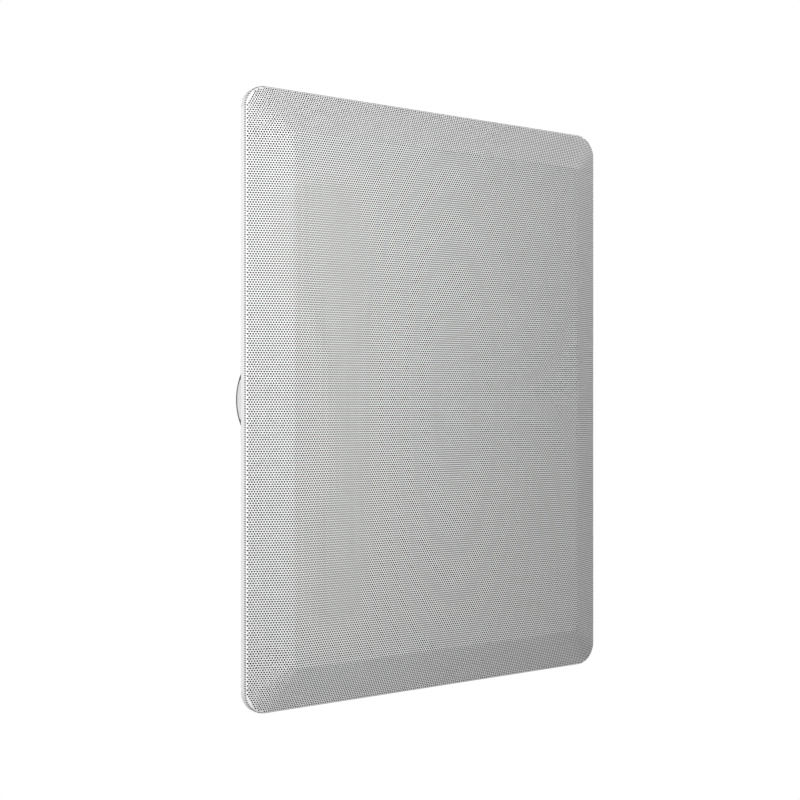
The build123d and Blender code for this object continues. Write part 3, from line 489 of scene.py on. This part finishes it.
# Pieces
def new_piece(name, mesh, slot, *materials):
    """An object in the scene, in its slot's own finish unless others are given."""
    mesh.materials.clear()
    for material in materials or (finishes[slot],):
        mesh.materials.append(material)
    piece = bpy.data.objects.new(name, mesh)
    bpy.context.scene.collection.objects.link(piece)
    return piece


def copy_of(node, name, *materials):
    """A piece with a CAD node's own form, in its place."""
    piece = new_piece(name, nodes[node].data.copy(), slot_of[node], *materials)
    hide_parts(node)
    return piece


def mesh_from(name, work):
    bmesh.ops.recalc_face_normals(work, faces=work.faces)
    mesh = bpy.data.meshes.new(name)
    work.to_mesh(mesh)
    work.free()
    mesh.shade_smooth()
    return mesh


def add_rings(work, rings, closed=False):
    """Quads between rings of points, capped at both ends unless the rings close on themselves."""
    loops = [[work.verts.new(point) for point in ring] for ring in rings]
    pairs = list(zip(loops, loops[1:]))
    if closed:
        pairs.append((loops[-1], loops[0]))
    for first, second in pairs:
        for k in range(len(first)):
            after = (k + 1) % len(first)
            work.faces.new((first[k], first[after], second[after], second[k]))
    if not closed:
        work.faces.new(loops[0])
        work.faces.new(loops[-1])


def ring(centre, radius, depth, count):
    """Points of a circle about an axis along Y."""
    points = []
    for k in range(count):
        angle = 2 * pi * k / count
        points.append((centre.x + radius * cos(angle), depth, centre.z + radius * sin(angle)))
    return points


def grille_sheet():
    """The formed sheet, with a map that lays its skirt out flat round the face."""
    piece = copy_of("grille", "grille_sheet")
    mesh = piece.data
    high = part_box("grille")[1]
    while mesh.uv_layers:
        mesh.uv_layers.remove(mesh.uv_layers[0])
    layer = mesh.uv_layers.new(name="OFBake")
    half_x = high.x + BEND_DEPTH
    half_z = high.z + BEND_DEPTH
    for loop in mesh.loops:
        spot = mesh.vertices[loop.vertex_index].co
        past_x = max(abs(spot.x) - high.x + PANEL_CORNER, 0.0)
        past_z = max(abs(spot.z) - high.z + PANEL_CORNER, 0.0)
        past = hypot(past_x, past_z)
        push = max(spot.y + BEND_DEPTH, 0.0) / past if past else 0.0
        flat_x = abs(spot.x) + push * past_x
        flat_z = abs(spot.z) + push * past_z
        sign_x = 1 if spot.x > 0 else -1
        sign_z = 1 if spot.z > 0 else -1
        across = 0.5 + sign_x * flat_x / half_x / 2
        upward = 0.5 + sign_z * flat_z / half_z / 2
        layer.data[loop.index].uv = (across, upward)
    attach(piece, "grille")


def scrim():
    """Black cloth stretched over the inside of the grille."""
    piece = copy_of("grille_scrim", "scrim_cloth_sheet")
    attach(piece, "grille")


def radial_share(piece):
    """Bakes the ring's placement into its mesh."""
    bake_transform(piece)


def woofer_roll():
    piece = copy_of("woofer_surround", "woofer_roll")
    radial_share(piece)


def woofer_damper():
    """The spider, with round rolls pressed in its cloth."""
    centre = middle("woofer_yoke")
    low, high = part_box("woofer_spider")
    outer = (high.x - low.x) / 2
    inner = (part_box("woofer_former")[1].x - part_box("woofer_former")[0].x) / 2
    rise = (high.y - low.y - SPIDER_WALL) / 2
    level = low.y + rise
    wave_start = inner + SPIDER_FLAT_IN
    wave_end = outer - SPIDER_FLAT_OUT
    front = []
    for k in range(SPIDER_STEPS + 1):
        radius = inner + (outer - inner) * k / SPIDER_STEPS
        share = (radius - wave_start) / (wave_end - wave_start)
        swing = sin(2 * pi * SPIDER_WAVES * share) if 0 < share < 1 else 0.0
        front.append((radius, level - rise * swing))
    profile = front + [(radius, depth + SPIDER_WALL) for radius, depth in reversed(front)]
    rings = [ring(centre, radius, depth, SPIDER_SIDES) for radius, depth in profile]
    work = bmesh.new()
    add_rings(work, rings, closed=True)
    piece = new_piece("woofer_damper", mesh_from("woofer_damper", work), "spider_cloth")
    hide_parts("woofer_spider")
    radial_share(piece)


def contact_springs():
    """The terminals' leaf springs, each on the chassis with a mesh of its own."""
    for colour in ("red", "black"):
        node = "terminal_spring_" + colour
        piece = copy_of(node, "contact_spring_" + colour)
        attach(piece, "chassis")
        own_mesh(piece)


def islands(mesh):
    """Number of the joined-up shell that each vertex belongs to, by place."""
    spots = {}
    for vertex in mesh.vertices:
        spots.setdefault(tuple(round(c, 7) for c in vertex.co), []).append(vertex.index)
    links = [[] for _ in mesh.vertices]
    for group in spots.values():
        for index in group:
            links[index].extend(group)
    for edge in mesh.edges:
        first, second = edge.vertices
        links[first].append(second)
        links[second].append(first)
    shell = [None] * len(links)
    count = 0
    for start in range(len(links)):
        if shell[start] is None:
            queue = [start]
            while queue:
                index = queue.pop()
                if shell[index] is None:
                    shell[index] = count
                    queue.extend(links[index])
            count += 1
    return shell


def wire_pairs():
    """Each pair of wires has a red one and a black one."""
    red = glossy("wire_cover_red", (0.45, 0.02, 0.02, 1.0), 0.35)
    for pair in ("input", "woofer", "tweeter"):
        piece = copy_of("wires_" + pair, "wire_pair_" + pair, red, finishes["wire_cover"])
        shell = islands(piece.data)
        for face in piece.data.polygons:
            face.material_index = min(shell[face.vertices[0]], 1)
        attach(piece, "chassis")


def clamp_screws():
    """Clamp screws with rolled threads in place of their plain shanks."""
    for side in ("left", "top", "right", "bottom"):
        node = "clamp_screw_" + side
        centre = middle(node)
        low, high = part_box(node)
        head_back = low.y + HEAD_HEIGHT
        work = bmesh.new()
        work.from_mesh(nodes[node].data)
        bmesh.ops.remove_doubles(work, verts=work.verts, dist=MERGE_DISTANCE)
        plain = [f for f in work.faces if f.calc_center_median().y > head_back + SHANK_MARGIN]
        bmesh.ops.delete(work, geom=plain, context="FACES")
        bmesh.ops.holes_fill(work, edges=[e for e in work.edges if e.is_boundary])
        add_rings(work, thread_rings(centre, head_back - HEAD_OVERLAP, high.y))
        mesh = mesh_from("threaded_screw_" + side, work)
        mesh.set_sharp_from_angle(angle=radians(SHARP_ANGLE))
        piece = new_piece("threaded_screw_" + side, mesh, "zinc_steel")
        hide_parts(node)
        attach(piece, node)


def thread_rings(centre, start, end):
    """Rings of points along a right-hand thread with a tapered tip."""
    step = THREAD_PITCH / THREAD_STEPS
    rings = []
    for k in range(int((end - start) / step) + 1):
        depth = min(start + k * step, end)
        taper = min(1.0, TIP_SHARE + (end - depth) / TIP_LENGTH)
        spots = []
        for j in range(THREAD_SIDES):
            turn = j / THREAD_SIDES
            phase = (depth / THREAD_PITCH + turn) % 1.0
            ridge = 1 - abs(2 * phase - 1)
            radius = (SCREW_RADIUS - THREAD_DEPTH + THREAD_DEPTH * ridge) * taper
            angle = 2 * pi * turn
            spots.append((centre.x + radius * cos(angle), depth, centre.z + radius * sin(angle)))
        rings.append(spots)
    return rings


def coil_turns():
    """The inductor's outer layer of round wire, turn on turn."""
    centre = middle("inductor_winding")
    low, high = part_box("inductor_winding")
    outer = (high.x - low.x) / 2
    wire = (high.y - low.y) / COIL_TURNS / 2
    profile = [(COIL_INNER, high.y), (COIL_INNER, low.y)]
    for turn in range(COIL_TURNS):
        for k in range(1, COIL_STEPS):
            angle = pi * k / COIL_STEPS
            depth = low.y + wire * (2 * turn + 1 - cos(angle))
            profile.append((outer - wire * (1 - sin(angle)), depth))
    rings = [ring(centre, radius, depth, COIL_SIDES) for radius, depth in profile]
    work = bmesh.new()
    add_rings(work, rings, closed=True)
    piece = new_piece("coil_turns", mesh_from("coil_turns", work), "copper")
    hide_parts("inductor_winding")
    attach(piece, "chassis")


def tubes(name, routes, radius):
    """Round wires along short routes, bent smoothly at each middle point."""
    curve = bpy.data.curves.new(name, "CURVE")
    curve.dimensions = "3D"
    curve.bevel_depth = radius
    curve.bevel_resolution = 3
    curve.use_fill_caps = True
    for route in routes:
        spline = curve.splines.new("NURBS")
        spline.points.add(len(route) - 1)
        for point, spot in zip(spline.points, route):
            point.co = (*spot, 1.0)
        spline.order_u = 3
        spline.use_endpoint_u = True
        spline.resolution_u = 6
    holder = bpy.data.objects.new(name, curve)
    mesh = bpy.data.meshes.new_from_object(holder)
    bpy.data.objects.remove(holder)
    mesh.name = name
    mesh.shade_smooth()
    return mesh


def board_joints():
    """Component legs into the board, and the solder round them and the wires."""
    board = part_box("crossover_board")
    face = board[1].y
    middle_x = (board[0].x + board[1].x) / 2
    legs = []
    feet = []
    for node, axis in (("film_capacitor", 2), ("small_capacitor", 0), ("resistor_block", 0)):
        centre = middle(node)
        for end, way in zip(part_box(node), (-1, 1)):
            start = centre.copy()
            start[axis] = end[axis] - way * LEAD_INSIDE
            corner = centre.copy()
            corner[axis] = end[axis] + way * LEAD_REACH
            foot = corner.copy()
            foot.y = face - LEAD_SINK
            legs.append((start, (start + corner) / 2, corner, (corner + foot) / 2, foot))
            feet.append(foot)
    ends = []
    coil = middle("inductor_bobbin")
    coil_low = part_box("inductor_winding")[0]
    below = coil_low.z - COIL_END_REACH
    for way in (-1, 1):
        x = coil.x + way * COIL_END_SPREAD
        start = Vector((x, coil_low.y + COIL_END_INSIDE, coil_low.z + COIL_END_INSIDE))
        corner = Vector((x, coil_low.y + COIL_END_BEND, below))
        foot = Vector((x, face - LEAD_SINK, below))
        ends.append((start, (start + corner) / 2, corner, foot))
        feet.append(foot)
    for k in range(2):
        for off_x, off_z in WIRE_FEET:
            x = middle_x + (off_x - WIRE_SPACING * k) * MM
            feet.append(Vector((x, face, board[0].z + off_z * MM)))
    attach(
        new_piece("component_legs", tubes("component_legs", legs, LEAD_RADIUS), "tinned_brass"),
        "chassis",
    )
    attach(new_piece("coil_ends", tubes("coil_ends", ends, LEAD_RADIUS), "copper"), "chassis")
    work = bmesh.new()
    for foot in feet:
        spot = Vector((foot.x, 0, foot.z))
        rings = [ring(spot, r * MM, face + rise * MM, SOLDER_SIDES) for r, rise in SOLDER_PROFILE]
        add_rings(work, rings)
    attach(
        new_piece("solder_joints", mesh_from("solder_joints", work), "tinned_brass", solder),
        "chassis",
    )


grille_sheet()
scrim()
woofer_roll()
woofer_damper()
contact_springs()
wire_pairs()
clamp_screws()
coil_turns()
board_joints()


# Studio: floor, soft lights and camera
def make_floor():
    """A pale floor that keeps the object's shadow and fades to white further out."""
    signs = ((-1, -1), (1, -1), (1, 1), (-1, 1))
    corners = [(x * FLOOR_HALF, y * FLOOR_HALF, FLOOR_Z) for x, y in signs]
    mesh = bpy.data.meshes.new("floor")
    mesh.from_pydata(corners, [], [(0, 1, 2, 3)])
    floor = bpy.data.objects.new("floor", mesh)
    bpy.context.scene.collection.objects.link(floor)
    finish = Finish("floor_paint", Specular_IOR_Level=0.0, Roughness=1.0)
    finish.set("Base Color", grey(FLOOR_GREY))
    length = finish.add("ShaderNodeVectorMath", {0: finish.place()}, operation="LENGTH")
    distance = length.outputs["Value"]
    glow = finish.add("ShaderNodeEmission", {"Color": grey(1.0), "Strength": 1.0})
    path = finish.add("ShaderNodeLightPath").outputs
    seen = finish.math("MAXIMUM", path["Is Camera Ray"], path["Is Glossy Ray"])
    seen = finish.math("MAXIMUM", seen, path["Is Transmission Ray"])
    spread = finish.between(distance, GLOW_NEAR, GLOW_FAR, GLOW_LEAST, 1.0)
    share = finish.math("MULTIPLY", seen, spread)
    mixed = finish.add("ShaderNodeMixShader", {0: share})
    finish.feed(mixed.inputs[1], finish.surface.outputs[0])
    finish.feed(mixed.inputs[2], glow.outputs[0])
    out = finish.tree.nodes["Material Output"]
    finish.feed(out.inputs["Surface"], mixed.outputs[0])
    mesh.materials.append(finish.material)


def make_world():
    """White where it is seen, and only faint as light on the object."""
    world = bpy.data.worlds.new("studio")
    bpy.context.scene.world = world
    world.use_nodes = True
    tree = world.node_tree
    sky = tree.nodes["Background"]
    sky.inputs["Color"].default_value = grey(1.0)
    path = tree.nodes.new("ShaderNodeLightPath").outputs
    share = tree.nodes.new("ShaderNodeMath")
    share.operation = "MAXIMUM"
    tree.links.new(path["Is Camera Ray"], share.inputs[0])
    tree.links.new(path["Is Glossy Ray"], share.inputs[1])
    seen = tree.nodes.new("ShaderNodeMath")
    seen.operation = "MAXIMUM"
    tree.links.new(share.outputs[0], seen.inputs[0])
    tree.links.new(path["Is Transmission Ray"], seen.inputs[1])
    level = tree.nodes.new("ShaderNodeMapRange")
    level.inputs["To Min"].default_value = AMBIENT
    level.inputs["To Max"].default_value = 1.0
    tree.links.new(seen.outputs[0], level.inputs["Value"])
    tree.links.new(level.outputs["Result"], sky.inputs["Strength"])


def soft_light(name, place, aim, size, power):
    light = bpy.data.lights.new(name, "AREA")
    light.shape = "DISK"
    light.size = size
    light.energy = power
    lamp = bpy.data.objects.new(name, light)
    bpy.context.scene.collection.objects.link(lamp)
    lamp.visible_camera = False
    lamp.location = place
    lamp.rotation_euler = (Vector(aim) - Vector(place)).to_track_quat("-Z", "Y").to_euler()


def make_camera():
    camera = bpy.data.objects.new("camera", bpy.data.cameras.new("camera"))
    bpy.context.scene.collection.objects.link(camera)
    camera.location = CAMERA_PLACE
    camera.rotation_euler = (radians(90), 0, radians(CAMERA_TURN))
    camera.data.lens = CAMERA_LENS
    camera.data.sensor_width = SENSOR_WIDTH
    camera.data.clip_start = CLIP_START
    bpy.context.scene.camera = camera


make_floor()
make_world()
soft_light("key_light", (-0.42, -0.57, 0.13), (-0.235, 0, 0.29), 0.3, 5.1)
soft_light("side_light", (0.93, 0, 0.73), (0, 0, 0), 0.5, 7.6)
soft_light("rim_light", (-1.1, 0.4, 0.15), (-0.1, 0, 0), 0.6, 5.5)
soft_light("back_light", (0.6, 1.2, 0.9), (0, 0, 0), 0.8, 14)
make_camera()
bpy.context.scene.view_settings.view_transform = "Standard"
